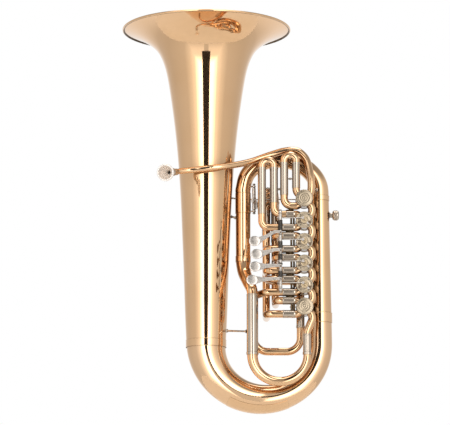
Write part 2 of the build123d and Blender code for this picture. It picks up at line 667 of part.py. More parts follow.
with BuildPart() as valve_slide_5:
    legs = V5_BASE - BRAZE - 2.0
    add(run([pt(V5_L, V5_Y, legs), pt(V5_L, V5_Y, V5_BOT), pt(V5_R, V5_Y, V5_BOT), pt(V5_R, V5_Y, legs)],
            [V5_CORNER, V5_CORNER], TUBE_R, BORE_R))
save(valve_slide_5.part, "valve_slide_5")

# ----------------------------------------------------------------------------
# Main tuning slide
# ----------------------------------------------------------------------------
with BuildPart() as main_sleeves:
    for x, ri, ro, z0, z1 in ((MAIN_XL, MAIN_RL + 0.06, MAIN_RL + 0.95, MAIN_Z + 1, NECK_Z - 0.05),
                              (MAIN_XR, MAIN_RR + 0.05, SLEEVE_R, MAIN_Z + 1, 190.0)):
        with BuildSketch(Plane(origin=pt(x, MAIN_Y, z0))):
            Circle(ro)
            Circle(ri, mode=Mode.SUBTRACT)
        extrude(amount=z1 - z0)
        with BuildSketch(Plane(origin=pt(x, MAIN_Y, z0))):
            Circle(ro + 0.9)
            Circle(ri, mode=Mode.SUBTRACT)
        extrude(amount=6)
save(main_sleeves.part, "main_sleeves")

with BuildPart() as main_tuning_slide:
    half = (MAIN_XR - MAIN_XL) / 2.0
    cx = (MAIN_XR + MAIN_XL) / 2.0
    drop = 64.5
    st = []
    n = 13
    for k in range(n):
        a = math.pi * k / (n - 1)
        p = pt(cx - half * math.cos(a), MAIN_Y, MAIN_Z - drop * math.sin(a))
        d = unit(Vector(half * math.sin(a), 0, -drop * math.cos(a)))
        st.append((p, d, k / (n - 1)))
    add(horn(frames(st), lambda s: MAIN_RL + (MAIN_RR - MAIN_RL) * s, 0.65))
    for x, r, z1 in ((MAIN_XL, MAIN_RL, NECK_Z - 6), (MAIN_XR, MAIN_RR, 183.0)):
        with BuildSketch(Plane(origin=pt(x, MAIN_Y, MAIN_Z))):
            Circle(r)
            Circle(r - 0.65, mode=Mode.SUBTRACT)
        extrude(amount=z1 - MAIN_Z)
save(main_tuning_slide.part, "main_tuning_slide")

# ----------------------------------------------------------------------------
# Levers, hinge rods and links
# Front levers work valves 2 to 5, back levers work valves 1 and 6.
# ----------------------------------------------------------------------------
def link_y(i):
    s = side(i)
    return VALVE_Y + s * (CASING_HALF + 0.4 + STOP_T + 2.1)


FRONT_X = 180.8
FRONT_Y = link_y(1) - LEVER_ARM * math.cos(math.radians(LEVER_SWING / 2))
BACK_Y = link_y(0) + LEVER_ARM * math.cos(math.radians(LEVER_SWING / 2))
HINGE = {0: (118.0, BACK_Y), 1: (FRONT_X, FRONT_Y), 2: (FRONT_X, FRONT_Y), 3: (FRONT_X, FRONT_Y),
         4: (FRONT_X, FRONT_Y), 5: (213.0, BACK_Y)}
HUB = {0: (506.0, 560.0), 1: (428.6, 480.0), 2: (384.6, 427.6), 3: (340.6, 383.6), 4: (296.6, 339.6), 5: (252.4, 300.0)}
ARM_Z = {0: 546.0, 1: 433.0, 2: 389.0, 3: 350.0, 4: 318.0, 5: 292.0}
PADDLE = {0: (125.0, 52.0, 528.0), 1: (118.0, -106.0, 410.0), 2: (122.7, -106.0, 378.0), 3: (119.0, -106.0, 347.4),
          4: (111.7, -106.0, 314.3), 5: (240.0, 84.0, 300.0)}
ROD_R = 2.5
HUB_R = 4.3

for i in range(6):
    hx, hy = HINGE[i]
    z0, z1 = HUB[i]
    s = side(i)
    pin_x = hx - LEVER_ARM * math.sin(math.radians(LEVER_SWING / 2))
    pin_y = link_y(i)
    zl = VALVE_Z[i] + CRANK
    with BuildPart() as lever:
        add(rod(pt(hx, hy, z0), pt(hx, hy, z1), HUB_R))
        # output arm just under the link, and the upright pin on it
        add(rod(pt(hx, hy, zl - 5.0), pt(pin_x, pin_y, zl - 5.0), 1.9))
        add(rod(pt(pin_x, pin_y, zl - 7.2), pt(pin_x, pin_y, zl - 2.9), 2.6))
        add(rod(pt(pin_x, pin_y, zl - 4.0), pt(pin_x, pin_y, zl + 5.2), LEVER_PIN_R))
        # finger arm
        px, py, pz = PADDLE[i]
        if i in BACK_DRIVEN:
            tip = pt(px, py, pz)
            add(rod(pt(hx, hy, ARM_Z[i]), pt(px, py - 10, pz), 2.2))
            n_dir = Vector(1, 0.15, 0)
        else:
            tip = pt(px, py, pz)
            # flat arm, bent near the hub, that widens into the paddle
            n_dir = Vector(0, 1, 0)
            outline = [(px - 4.0, pz - 11.6), (px + 9.0, pz - 9.6), (px + 24.0, 0.62 * pz + 0.38 * ARM_Z[i] - 5.6),
                       (hx - 14.0, ARM_Z[i] - 4.0), (hx - 1.0, ARM_Z[i] - 3.6),
                       (hx - 1.0, ARM_Z[i] + 3.6), (hx - 14.0, ARM_Z[i] + 4.0), (px + 24.0, 0.62 * pz + 0.38 * ARM_Z[i] + 5.6),
                       (px + 9.0, pz + 9.6), (px - 4.0, pz + 11.6)]
            with BuildSketch(Plane(origin=pt(0, py + 1.3, 0), x_dir=(1, 0, 0), z_dir=(0, -1, 0))):
                with BuildLine():
                    Polyline(*outline, close=True)
                make_face()
            extrude(amount=2.6)
            # neck from the flat arm back to the hub
            add(rod(pt(hx, hy, ARM_Z[i]), pt(hx - 4.0, py, ARM_Z[i]), 3.2))
        # paddle: oval plate, slightly domed edge
        base = Plane(origin=tip - unit(n_dir) * 1.5, x_dir=(Vector(1, 0, 0) if i not in BACK_DRIVEN else Vector(0, 1, 0)), z_dir=n_dir)
        with BuildSketch(base):
            Ellipse(13.5, 12.4 if i not in BACK_DRIVEN else 11.0)
        extrude(amount=3.0)
        # bore for the hinge rod
        add(rod(pt(hx, hy, z0 - 1), pt(hx, hy, z1 + 1), ROD_R + 0.05), mode=Mode.SUBTRACT)
    save(lever.part, "lever_%d" % (i + 1))

    with BuildPart() as link:
        ly = link_y(i)
        # eye on the crank pin, bar, eye on the upright pin of the lever
        with BuildSketch(Plane(origin=pt(VALVE_X - CRANK, ly - 1.5, zl), x_dir=(1, 0, 0), z_dir=(0, 1, 0))):
            Circle(3.5)
        extrude(amount=3.0)
        with BuildSketch(Plane(origin=pt(pin_x, ly, zl - 1.5))):
            Circle(4.2)
        extrude(amount=3.0)
        add(rod(pt(pin_x + 3.4, ly, zl), pt(VALVE_X - CRANK - 2.6, ly, zl), 1.4))
        with BuildSketch(Plane(origin=pt(VALVE_X - CRANK, ly - 3, zl), x_dir=(1, 0, 0), z_dir=(0, 1, 0))):
            Circle(PIN_R + 0.05)
        extrude(amount=6.0, mode=Mode.SUBTRACT)
        with BuildSketch(Plane(origin=pt(pin_x, ly, zl - 3))):
            Circle(LEVER_EYE_R)
        extrude(amount=6.0, mode=Mode.SUBTRACT)
    save(link.part, "link_%d" % (i + 1))

# hinge rods, each with a head at both ends
with BuildPart() as hinge_rods:
    for (x, y), z0, z1 in (((FRONT_X, FRONT_Y), 288.0, 487.0), (HINGE[0], 498.0, 568.0), (HINGE[5], 245.0, 308.0)):
        add(rod(pt(x, y, z0), pt(x, y, z1), ROD_R))
        add(rod(pt(x, y, z0 - 2.5), pt(x, y, z0), 3.4))
        add(rod(pt(x, y, z1), pt(x, y, z1 + 2.5), 3.4))
save(hinge_rods.part, "hinge_rods")

# posts that carry the hinge rods on the tubes
with BuildPart() as hinge_posts:
    for z in (484.0, 292.0):
        with BuildSketch(Plane(origin=pt(FRONT_X, FRONT_Y, z - 2.5))):
            Circle(4.6)
            Circle(ROD_R + 0.02, mode=Mode.SUBTRACT)
        extrude(amount=5.0)
        add(rod(pt(FRONT_X, FRONT_Y + 4.0, z), pt(FRONT_X, VALVE_Y - TUBE_R - 0.1, z), 2.2))
    for z in (502.0, 564.0):
        with BuildSketch(Plane(origin=pt(HINGE[0][0], HINGE[0][1], z - 2.0))):
            Circle(4.4)
            Circle(ROD_R + 0.02, mode=Mode.SUBTRACT)
        extrude(amount=4.0)
    add(rod(pt(HINGE[0][0] - 3.8, HINGE[0][1], 502.0), pt(INNER_X + 18.6, INNER_Y - 7.0, 502.0), 1.8))
    add(rod(pt(HINGE[0][0] - 3.8, HINGE[0][1], 564.0), pt(INNER_X + 20.8, INNER_Y - 7.0, 564.0), 1.8))
    for z in (249.5, 304.0):
        with BuildSketch(Plane(origin=pt(HINGE[5][0], HINGE[5][1], z - 2.0))):
            Circle(4.4)
            Circle(ROD_R + 0.02, mode=Mode.SUBTRACT)
        extrude(amount=4.0)
    # arms from the two rings of lever 6 to the hanging slide of valve 5
    to_v5 = unit(Vector(231.0 - HINGE[5][0], -12.0 - HINGE[5][1], 0))
    for z, reach in ((249.5, 9.9), (304.0, 10.7)):
        c = pt(HINGE[5][0], HINGE[5][1], z)
        add(rod(c + to_v5 * 3.6, c + to_v5 * reach, 1.8))
save(hinge_posts.part, "hinge_posts")

# return springs around the hinge rod, between the posts and the hubs
with BuildPart() as lever_springs:
    for zc in (445.0, 397.0, 367.6, 323.4):
        with BuildSketch(Plane(origin=pt(FRONT_X, FRONT_Y, zc))):
            Circle(HUB_R + 1.6)
            Circle(HUB_R + 0.4, mode=Mode.SUBTRACT)
        extrude(amount=13.0)
save(lever_springs.part, "lever_springs")

# ----------------------------------------------------------------------------
# Braces and the screw knob on the outer branch
# ----------------------------------------------------------------------------
with BuildPart() as braces:
    # bell to the main tuning slide
    add(rod(pt(51.6, -12.0, 203.0), pt(MAIN_XL - 14.9, MAIN_Y + 6.0, 197.0), 2.3))
    # bell to the inner branch
    add(rod(pt(62.2, 1.5, 489.0), pt(71.9, 4.0, 487.0), 2.3))
    add(rod(pt(64.4, 1.5, 536.0), pt(70.9, 4.0, 535.0), 2.0))
    # outer branch to the valve block
    add(rod(pt(262.4, -36.6, 552.0), pt(271.4, -23.6, 552.0), 2.3))
    # valve slide loops to each other
    add(rod(pt(V1_L + SLEEVE_R + 0.1, VALVE_Y, 575.0), pt(V1_R - SLEEVE_R - 0.1, VALVE_Y, 575.0), 2.0))
    add(rod(pt(V2_R + SLEEVE_R + 0.1, VALVE_Y, 549.0), pt(V1_L - SLEEVE_R - 0.1, VALVE_Y, 549.0), 2.6))
    add(rod(pt(V2_L + SLEEVE_R + 0.1, VALVE_Y, 551.0), pt(V2_R - SLEEVE_R - 0.1, VALVE_Y, 551.0), 2.0))
save(braces.part, "braces")

with BuildPart() as screw_knob:
    kp = Plane(origin=pt(BRANCH_X + 23.9, 0.0, KNOB_Z), x_dir=(0, 1, 0), z_dir=(1, 0, 0))
    with BuildSketch(kp.offset(7.0)):
        Circle(12.2)
    extrude(amount=16.4)
    fillet(screw_knob.edges().filter_by(GeomType.CIRCLE), 5.2)
    # thick neck on the branch
    with BuildSketch(kp):
        Circle(6.0)
    extrude(amount=9.0)
save(screw_knob.part, "screw_knob")
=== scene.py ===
import json
import math

import bpy
import bmesh
from mathutils import Vector, Matrix


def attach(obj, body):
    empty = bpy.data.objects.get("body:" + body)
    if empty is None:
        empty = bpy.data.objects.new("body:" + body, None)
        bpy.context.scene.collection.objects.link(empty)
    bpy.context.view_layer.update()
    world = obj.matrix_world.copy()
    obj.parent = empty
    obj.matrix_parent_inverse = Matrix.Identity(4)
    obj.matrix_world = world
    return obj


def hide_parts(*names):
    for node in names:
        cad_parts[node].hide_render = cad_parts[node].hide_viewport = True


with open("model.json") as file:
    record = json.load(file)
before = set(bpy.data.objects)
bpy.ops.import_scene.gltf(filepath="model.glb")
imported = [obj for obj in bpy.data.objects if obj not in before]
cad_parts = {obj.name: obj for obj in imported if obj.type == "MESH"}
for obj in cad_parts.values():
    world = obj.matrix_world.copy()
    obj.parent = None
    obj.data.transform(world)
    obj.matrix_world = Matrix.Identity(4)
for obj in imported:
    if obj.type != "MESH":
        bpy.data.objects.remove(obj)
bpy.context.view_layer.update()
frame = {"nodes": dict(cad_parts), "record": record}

AX = 58.65          # bell axis to the middle of the instrument, mm
scene = bpy.context.scene


def P(x, y, z):
    """Bell coordinates in millimetres to the row frame in metres."""
    return Vector(((x - AX) / 1000.0, y / 1000.0, z / 1000.0))


def mm(v):
    return v / 1000.0


# ---------------------------------------------------------------------------
# Materials
# ---------------------------------------------------------------------------
class Mat:
    """A small helper that strings nodes together."""

    def __init__(self, name):
        self.m = bpy.data.materials.new(name)
        self.m.use_nodes = True
        self.t = self.m.node_tree
        self.t.nodes.clear()
        self.out = self.n("ShaderNodeOutputMaterial")
        self.b = self.n("ShaderNodeBsdfPrincipled")
        self.link(self.b.outputs[0], self.out.inputs[0])
        self.co = self.n("ShaderNodeTexCoord").outputs["Object"]

    def n(self, kind, **kw):
        node = self.t.nodes.new(kind)
        for k, v in kw.items():
            setattr(node, k, v)
        return node

    def link(self, a, b):
        self.t.links.new(a, b)

    def scaled(self, sx, sy, sz):
        mp = self.n("ShaderNodeMapping")
        mp.inputs["Scale"].default_value = (sx, sy, sz)
        self.link(self.co, mp.inputs["Vector"])
        return mp.outputs[0]

    def noise(self, scale, detail=3.0, rough=0.5, vec=None, distortion=0.0):
        nd = self.n("ShaderNodeTexNoise")
        nd.inputs["Scale"].default_value = scale
        nd.inputs["Detail"].default_value = detail
        nd.inputs["Roughness"].default_value = rough
        nd.inputs["Distortion"].default_value = distortion
        self.link(vec if vec is not None else self.co, nd.inputs["Vector"])
        return nd.outputs[0]

    def ramp(self, fac, stops):
        r = self.n("ShaderNodeValToRGB")
        el = r.color_ramp.elements
        while len(el) < len(stops):
            el.new(0.5)
        for e, (p, c) in zip(el, stops):
            e.position = p
            e.color = (c[0], c[1], c[2], 1.0)
        self.link(fac, r.inputs[0])
        return r.outputs[0]

    def maprange(self, fac, a, b, c, d):
        r = self.n("ShaderNodeMapRange")
        r.inputs["From Min"].default_value = a
        r.inputs["From Max"].default_value = b
        r.inputs["To Min"].default_value = c
        r.inputs["To Max"].default_value = d
        self.link(fac, r.inputs["Value"])
        return r.outputs[0]

    def math(self, op, a, b=None):
        r = self.n("ShaderNodeMath", operation=op)
        for k, v in enumerate((a, b)):
            if v is None:
                continue
            if isinstance(v, (int, float)):
                r.inputs[k].default_value = v
            else:
                self.link(v, r.inputs[k])
        return r.outputs[0]

    def mix(self, fac, a, b):
        r = self.n("ShaderNodeMix", data_type="RGBA")
        if isinstance(fac, (int, float)):
            r.inputs[0].default_value = fac
        else:
            self.link(fac, r.inputs[0])
        for k, v in ((6, a), (7, b)):
            if isinstance(v, tuple):
                r.inputs[k].default_value = (v[0], v[1], v[2], 1.0)
            else:
                self.link(v, r.inputs[k])
        return r.outputs[2]

    def bump(self, height, strength, distance):
        b = self.n("ShaderNodeBump")
        b.inputs["Strength"].default_value = strength
        b.inputs["Distance"].default_value = distance
        self.link(height, b.inputs["Height"])
        self.link(b.outputs[0], self.b.inputs["Normal"])

    def put(self, **kw):
        for k, v in kw.items():
            s = self.b.inputs[k.replace("_", " ")]
            if isinstance(v, (int, float)):
                s.default_value = v
            elif isinstance(v, tuple):
                s.default_value = (v[0], v[1], v[2], 1.0)
            else:
                self.link(v, s)


def metal(name, light, dark, rough, spread, line_scale, bump, coat=0.0, spot=0.0, crevice_shade=0.0, coat_rough=0.04, solid=1.0):
    """Polished metal: slow colour drift, fine polish lines round the tubes, faint handling marks, and painted shade
    that darkens the colour in the crevices, where ambient occlusion finds nearby parts.
    """
    m = Mat(name)
    drift = m.noise(7.0, 3.0, 0.55)
    lines = m.noise(1.0, 2.0, 0.6, m.scaled(line_scale * 0.12, line_scale * 0.12, line_scale))
    fine = m.noise(900.0, 2.0, 0.5)
    marks = m.noise(55.0, 5.0, 0.65)
    col = m.mix(m.maprange(drift, 0.35, 0.68, 0.0, 1.0), light, dark)
    worn = m.maprange(marks, 0.62, 0.74, 0.0, spot)
    col = m.mix(worn, col, (dark[0] * 0.72, dark[1] * 0.66, dark[2] * 0.60))
    # painted shade: ambient occlusion darkens the base colour towards deep brown in crevices and between close tubes
    if crevice_shade > 0:
        ao = m.n("ShaderNodeAmbientOcclusion", samples=8)
        ao.inputs["Distance"].default_value = 0.045
        shade = m.maprange(ao.outputs["AO"], 0.15, 0.93, crevice_shade, 0.0)
        col = m.mix(shade, col, (dark[0] * 0.22, dark[1] * 0.17, dark[2] * 0.12))
    r = m.math("ADD", m.maprange(lines, 0.3, 0.7, rough, rough + spread), m.maprange(marks, 0.45, 0.75, 0.0, spread * 0.9))
    m.put(Base_Color=col, Metallic=solid, Roughness=r)
    if coat > 0:
        m.b.inputs["Coat Weight"].default_value = coat
        m.b.inputs["Coat Roughness"].default_value = coat_rough
        m.b.inputs["Coat IOR"].default_value = 1.5
    h = m.math("ADD", m.math("MULTIPLY", lines, 0.6), m.math("MULTIPLY", fine, 0.4))
    m.bump(h, bump, 0.00004)
    return m.m


def turned(name, light, dark, rough):
    """Metal turned on a lathe: fine rings about the Y axis of each valve."""
    m = Mat(name)
    sep = m.n("ShaderNodeSeparateXYZ")
    m.link(m.co, sep.inputs[0])
    x = m.math("SUBTRACT", sep.outputs[0], (240.4 - AX) / 1000.0)
    # distance to the nearest valve axis: the valves repeat every 53.5 mm in Z
    z = m.math("SUBTRACT", sep.outputs[2], (255.8 - 26.75) / 1000.0)
    z = m.math("SUBTRACT", m.math("MODULO", z, 0.0535), 0.02675)
    rr = m.math("SQRT", m.math("ADD", m.math("MULTIPLY", x, x), m.math("MULTIPLY", z, z)))
    ring = m.math("SINE", m.math("MULTIPLY", rr, 9000.0))
    nz = m.noise(160.0, 4.0, 0.6)
    col = m.mix(m.maprange(m.noise(30.0), 0.35, 0.7, 0.0, 1.0), light, dark)
    col = m.mix(m.maprange(nz, 0.6, 0.75, 0.0, 0.35), col, (dark[0] * 0.7, dark[1] * 0.66, dark[2] * 0.6))
    m.put(Base_Color=col, Metallic=1.0, Roughness=m.maprange(m.math("ADD", ring, nz), -1.0, 2.0, rough, rough + 0.1))
    m.bump(ring, 0.25, 0.00003)
    return m.m


GOLD = metal("gold_brass_lacquer", (0.895, 0.575, 0.325), (0.86, 0.54, 0.29), 0.03, 0.03, 520.0, 0.025, 0.35, 0.10, 0.88)
NICKEL = metal("nickel_silver", (0.58, 0.485, 0.39), (0.51, 0.42, 0.33), 0.06, 0.05, 620.0, 0.05, 0.0, 0.20, 0.85)
CAPS = turned("nickel_silver_caps", (0.475, 0.385, 0.275), (0.385, 0.31, 0.215), 0.26)
LEVER = metal("nickel_silver_levers", (0.64, 0.585, 0.53), (0.57, 0.515, 0.46), 0.24, 0.08, 800.0, 0.10, 0.0, 0.25, 0.55)
ROTOR = turned("rotor_brass", (0.52, 0.40, 0.25), (0.42, 0.32, 0.20), 0.28)
SILVER = metal("silver_plate", (0.93, 0.86, 0.79), (0.89, 0.82, 0.75), 0.42, 0.08, 700.0, 0.01, 0.0, 0.08, 0.0, 0.04, 0.55)
STEEL = metal("spring_steel", (0.17, 0.155, 0.14), (0.11, 0.10, 0.09), 0.32, 0.12, 1500.0, 0.3, 0.0, 0.4)

# painted shade: near-black brass for the spacers and webs in the shaded gaps among the valve tubes
SHADE_BRASS = metal("brass_painted_shade", (0.22, 0.155, 0.085), (0.13, 0.085, 0.045), 0.30, 0.12, 600.0, 0.10, 0.0, 0.4, 0.6)

cork = Mat("cork")
cn = cork.noise(420.0, 6.0, 0.7)
cv = cork.n("ShaderNodeTexVoronoi")
cv.inputs["Scale"].default_value = 700.0
cork.link(cork.co, cv.inputs["Vector"])
cork.put(Base_Color=cork.ramp(cn, [(0.30, (0.05, 0.033, 0.02)), (0.55, (0.16, 0.10, 0.06)), (0.75, (0.26, 0.17, 0.10))]),
         Metallic=0.0, Roughness=cork.maprange(cn, 0.3, 0.7, 0.75, 0.95))
cork.bump(cv.outputs[0], 0.6, 0.0002)
CORK = cork.m

dark = Mat("slot_shadow")
dk = dark.noise(500.0, 3.0, 0.6)
dark.put(Base_Color=dark.ramp(dk, [(0.3, (0.012, 0.010, 0.008)), (0.7, (0.035, 0.028, 0.022))]), Metallic=0.3,
         Roughness=dark.maprange(dk, 0.3, 0.7, 0.5, 0.7))
DARK = dark.m

BY_SLOT = {"gold_brass_lacquer": GOLD, "nickel_silver": NICKEL, "nickel_silver_caps": CAPS, "nickel_silver_levers": LEVER,
           "rotor_brass": ROTOR, "silver_plate": SILVER, "spring_steel": STEEL, "cork": CORK}
slot_of = {s["node"]: s["material_slot"] for s in frame["record"]["subparts"]}
BELL_GOLD = metal("gold_brass_bell", (0.895, 0.575, 0.325), (0.86, 0.54, 0.29), 0.045, 0.025, 520.0, 0.004, 0.35, 0.06, 0.88)
BOW_GOLD = metal("gold_brass_bow", (0.905, 0.60, 0.36), (0.87, 0.56, 0.32), 0.035, 0.025, 520.0, 0.004, 0.20, 0.06, 0.88, 0.04)
# painted shade: a darker copy of the nickel silver for the hinge rods, standing for the shade on the hinge column
ROD_SHADE = metal("hinge_rod_painted_shade", (0.34, 0.285, 0.23), (0.24, 0.20, 0.155), 0.22, 0.08, 700.0, 0.05, 0.0, 0.30, 0.85)
# painted shade: near-black brass for the ring under the rolled rim
RIM_SEAM_SHADE = metal("rim_seam_painted_shade", (0.17, 0.115, 0.07), (0.10, 0.068, 0.042), 0.30, 0.10, 520.0, 0.05)
for name, ob in frame["nodes"].items():
    ob.data.materials.clear()
    ob.data.materials.append({"bell": BELL_GOLD, "bottom_bow": BOW_GOLD, "hinge_rods": ROD_SHADE}.get(name, BY_SLOT[slot_of[name]]))


# ---------------------------------------------------------------------------
# Mesh helpers
# ---------------------------------------------------------------------------
def finish_mesh(name, verts, faces, material, body, smooth=True):
    me = bpy.data.meshes.new(name)
    me.from_pydata([tuple(v) for v in verts], [], faces)
    me.validate()
    me.update()
    if smooth:
        for p in me.polygons:
            p.use_smooth = True
    ob = bpy.data.objects.new(name, me)
    scene.collection.objects.link(ob)
    me.materials.append(material)
    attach(ob, body)
    return ob


def basis(axis):
    a = Vector(axis).normalized()
    h = Vector((0, 0, 1)) if abs(a.z) < 0.9 else Vector((1, 0, 0))
    u = a.cross(h).normalized()
    w = a.cross(u).normalized()
    return a, u, w


class Bag:
    """Collects many small shapes in one mesh."""

    def __init__(self):
        self.v, self.f = [], []

    def lathe(self, origin, axis, profile, seg=32, close=False):
        """Revolves (radius, height) pairs, in metres, about an axis through origin."""
        a, u, w = basis(axis)
        o = Vector(origin)
        base = len(self.v)
        rings = []
        for r, h in profile:
            if r < 1e-7:
                self.v.append(o + a * h)
                rings.append([len(self.v) - 1])
            else:
                ring = []
                for k in range(seg):
                    t = 2 * math.pi * k / seg
                    self.v.append(o + a * h + u * (r * math.cos(t)) + w * (r * math.sin(t)))
                    ring.append(len(self.v) - 1)
                rings.append(ring)
        pairs = list(zip(rings, rings[1:]))
        if close:
            pairs.append((rings[-1], rings[0]))
        for r0, r1 in pairs:
            if len(r0) == 1 and len(r1) == 1:
                continue
            for k in range(seg):
                k2 = (k + 1) % seg
                if len(r0) == 1:
                    self.f.append((r0[0], r1[k], r1[k2]))
                elif len(r1) == 1:
                    self.f.append((r0[k], r1[0], r0[k2]))
                else:
                    self.f.append((r0[k], r1[k], r1[k2], r0[k2]))

    def bead(self, origin, axis, radius, thick, width=None, seg=48):
        """A half-round ring that stands on a tube of that radius."""
        width = width or thick * 2
        n = 8
        prof = []
        for k in range(n + 1):
            t = math.pi * k / n
            prof.append((radius - thick * 0.15 + thick * 1.15 * math.sin(t), -width / 2 * math.cos(t)))
        prof.append((radius - thick * 0.5, 0.0))
        self.lathe(origin, axis, prof, seg, close=True)

    def sweep(self, pts, radius, seg=8, closed_ends=True):
        rings = []
        prev = None
        n = len(pts)
        for i, p in enumerate(pts):
            d = (pts[min(i + 1, n - 1)] - pts[max(i - 1, 0)]).normalized()
            if prev is None:
                h = Vector((0, 0, 1)) if abs(d.z) < 0.9 else Vector((1, 0, 0))
                u = d.cross(h).normalized()
            else:
                u = (prev - d * prev.dot(d)).normalized()
            prev = u
            w = d.cross(u)
            r = radius(i / (n - 1)) if callable(radius) else radius
            ring = []
            for k in range(seg):
                t = 2 * math.pi * k / seg
                self.v.append(p + u * (r * math.cos(t)) + w * (r * math.sin(t)))
                ring.append(len(self.v) - 1)
            rings.append(ring)
        for r0, r1 in zip(rings, rings[1:]):
            for k in range(seg):
                k2 = (k + 1) % seg
                self.f.append((r0[k], r1[k], r1[k2], r0[k2]))
        if closed_ends:
            self.f.append(tuple(rings[0]))
            self.f.append(tuple(reversed(rings[-1])))

    def screw(self, origin, axis, radius, height, turn=0.0, slots=None, seg=28):
        """A domed screw head; its slot goes in the second bag as a dark bar."""
        prof = [(0.0, height), (radius * 0.55, height * 0.96), (radius * 0.85, height * 0.74),
                (radius * 0.97, height * 0.40), (radius, 0.0), (radius * 0.98, -height * 0.25)]
        self.lathe(origin, axis, prof, seg)
        if slots is not None:
            a, u, w = basis(axis)
            d = u * math.cos(turn) + w * math.sin(turn)
            e = a.cross(d)
            o = Vector(origin)
            hw, hl = radius * 0.11, radius * 0.86
            b = len(slots.v)
            for s, q in ((-1, -1), (1, -1), (1, 1), (-1, 1)):
                slots.v.append(o + d * (hl * s) + e * (hw * q) + a * (height * 0.35))
            for s, q in ((-1, -1), (1, -1), (1, 1), (-1, 1)):
                slots.v.append(o + d * (hl * s * 0.92) + e * (hw * q) + a * (height * 1.03))
            slots.f += [(b, b + 3, b + 2, b + 1), (b + 4, b + 5, b + 6, b + 7)]
            for k in range(4):
                k2 = (k + 1) % 4
                slots.f.append((b + k, b + k2, b + 4 + k2, b + 4 + k))

    def make(self, name, material, body, slot, smooth=True):
        return finish_mesh(name, self.v, self.f, material, body, smooth)


# CAD_PIECES_START
# ---------------------------------------------------------------------------
# Detail pieces
# ---------------------------------------------------------------------------
VALVE_X, VALVE_Y, PITCH = 240.4, -48.0, 53.5
VALVE_Z = [523.3 - PITCH * i for i in range(6)]
BACK = (0, 5)
Y = Vector((0, 1, 0))
X = Vector((1, 0, 0))
Z = Vector((0, 0, 1))
CRANK = 5.6 / math.sqrt(2.0)

# crowned, turned screw caps with a knurled edge, on the cap end of each valve
for i, z in enumerate(VALVE_Z):
    s = 1.0 if i in BACK else -1.0
    y_out = VALVE_Y - s * 22.0                     # outer face of the screw cap
    axis = Y * (-s)
    bag = Bag()
    prof = [(mm(20.9), mm(-0.4)), (mm(20.6), mm(0.15)), (mm(19.4), mm(0.55)), (mm(18.2), mm(0.30)), (mm(17.4), mm(0.62)),
            (mm(14.0), mm(0.95)), (mm(11.2), mm(1.05)), (mm(10.7), mm(0.80)), (mm(10.1), mm(1.12)), (mm(6.4), mm(1.26)),
            (mm(5.9), mm(1.00)), (mm(5.3), mm(1.34)), (mm(2.2), mm(1.42)), (mm(1.1), mm(1.10)), (0.0, mm(1.05))]
    bag.lathe(P(VALVE_X, y_out, z), axis, prof, 64)
    # knurl: small teeth round the edge
    a, u, w = basis(axis)
    for k in range(72):
        t = 2 * math.pi * k / 72
        c = P(VALVE_X, y_out, z) + (u * math.cos(t) + w * math.sin(t)) * mm(20.95)
        bag.sweep([c - a * mm(3.6), c - a * mm(0.9)], mm(0.32), 5)
    bag.make("cap_crown_%d" % (i + 1), CAPS, "root", "nickel_silver_caps")

    # bearing face of the mechanism end: turned rings and a raised hub
    y_b = VALVE_Y + s * 17.0
    bag = Bag()
    ax2 = Y * s
    prof = [(mm(20.7), mm(-0.6)), (mm(20.6), mm(0.10)), (mm(19.9), mm(0.22)), (mm(19.1), mm(0.05)), (mm(18.6), mm(0.16)), (mm(17.9), mm(0.04)),
            (mm(11.2), mm(0.05)), (mm(10.8), mm(0.16)), (mm(10.2), mm(0.16)), (mm(9.9), mm(0.03))]
    bag.lathe(P(VALVE_X, y_b, z), ax2, prof, 64)
    bag.make("bearing_face_%d" % (i + 1), CAPS, "root", "nickel_silver_caps")

    # screws of the two cork bumpers' plate
    bag, slots = Bag(), Bag()
    for ang in (52.0, 128.0, 232.0, 308.0):
        px = VALVE_X + 15.9 * math.cos(math.radians(ang))
        pz = z + 15.9 * math.sin(math.radians(ang))
        if abs(px - VALVE_X) < 5 and pz < z:
            continue
        bag.screw(P(px, y_b + s * (-0.3 if i in (0, 5) else 0.1), pz), ax2, mm(1.5), mm(0.4 if i in (0, 5) else 0.8), ang, slots, 16)
    bag.make("plate_screws_%d" % (i + 1), STEEL, "root", "spring_steel")
    slots.make("plate_screw_slots_%d" % (i + 1), DARK, "root", "spring_steel")

    # spindle screw and washer
    bag, slots = Bag(), Bag()
    y_s = VALVE_Y + s * (17.0 + 0.4 + 3.0)
    bag.lathe(P(VALVE_X, y_s, z), ax2, [(mm(9.1), mm(0.0)), (mm(8.9), mm(0.22)), (mm(8.0), mm(0.3)), (mm(7.4), mm(0.1)), (mm(4.9), mm(0.1)),
                                        (mm(4.6), mm(0.35)), (mm(4.0), mm(0.45)), (mm(3.6), mm(0.2)), (mm(3.2), mm(0.05))], 48)
    bag.screw(P(VALVE_X, y_s, z), ax2, mm(3.1), mm(1.1), 0.7 + i, slots, 32)
    bag.make("spindle_screw_%d" % (i + 1), ROTOR, "rotor_%d_body" % (i + 1), "rotor_brass")
    slots.make("spindle_slot_%d" % (i + 1), DARK, "rotor_%d_body" % (i + 1), "rotor_brass")

